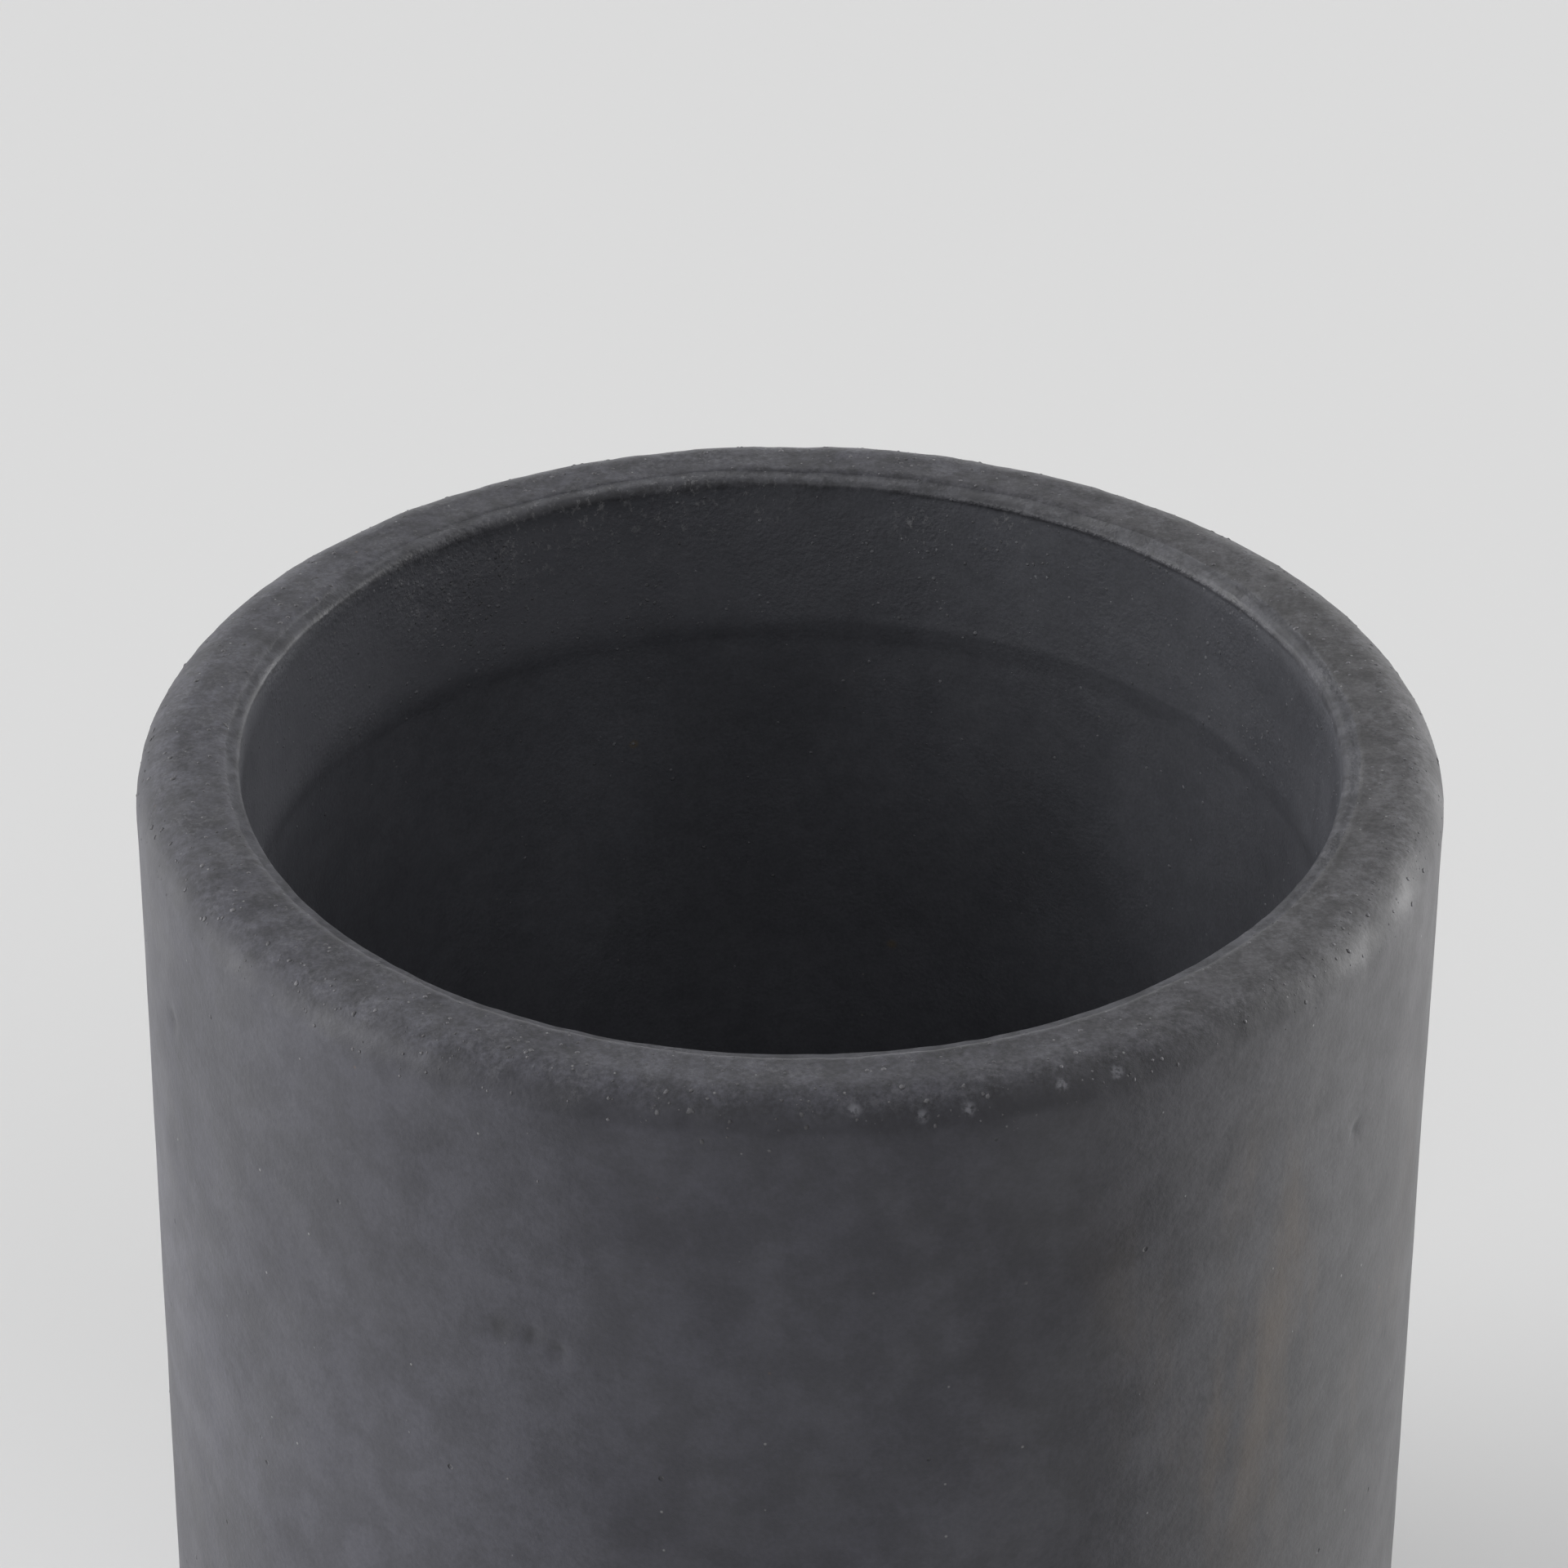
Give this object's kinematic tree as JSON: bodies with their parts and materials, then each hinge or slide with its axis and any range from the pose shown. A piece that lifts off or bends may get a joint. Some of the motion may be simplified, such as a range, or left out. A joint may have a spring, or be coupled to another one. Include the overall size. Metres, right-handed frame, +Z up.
{
  "type": "empty candle jar",
  "caption": "Straight-sided round candle vessel cast in charcoal concrete, with a thick rounded rim, a shallow neck band inside the mouth, a sealed cavity and stick-on rubber feet.",
  "frame": {"origin": "centre of the base, in the plane of the rubber feet's undersides", "axes": "+Z up along the jar's axis, out of its mouth; the jar is round, so X and Y are free, and the rubber feet lie on the diagonals between them"},
  "size_m": [0.08, 0.08, 0.09],
  "materials": {
    "cast_concrete": "matte",
    "seal_coat": "matte",
    "foot_rubber": "matte"
  },
  "bodies": {
    "root": {"jar_body": "cast_concrete", "inner_seal_coat": "seal_coat", "rubber_foot_1": "foot_rubber", "rubber_foot_2": "foot_rubber", "rubber_foot_3": "foot_rubber", "rubber_foot_4": "foot_rubber"}
  },
  "joints": []
}
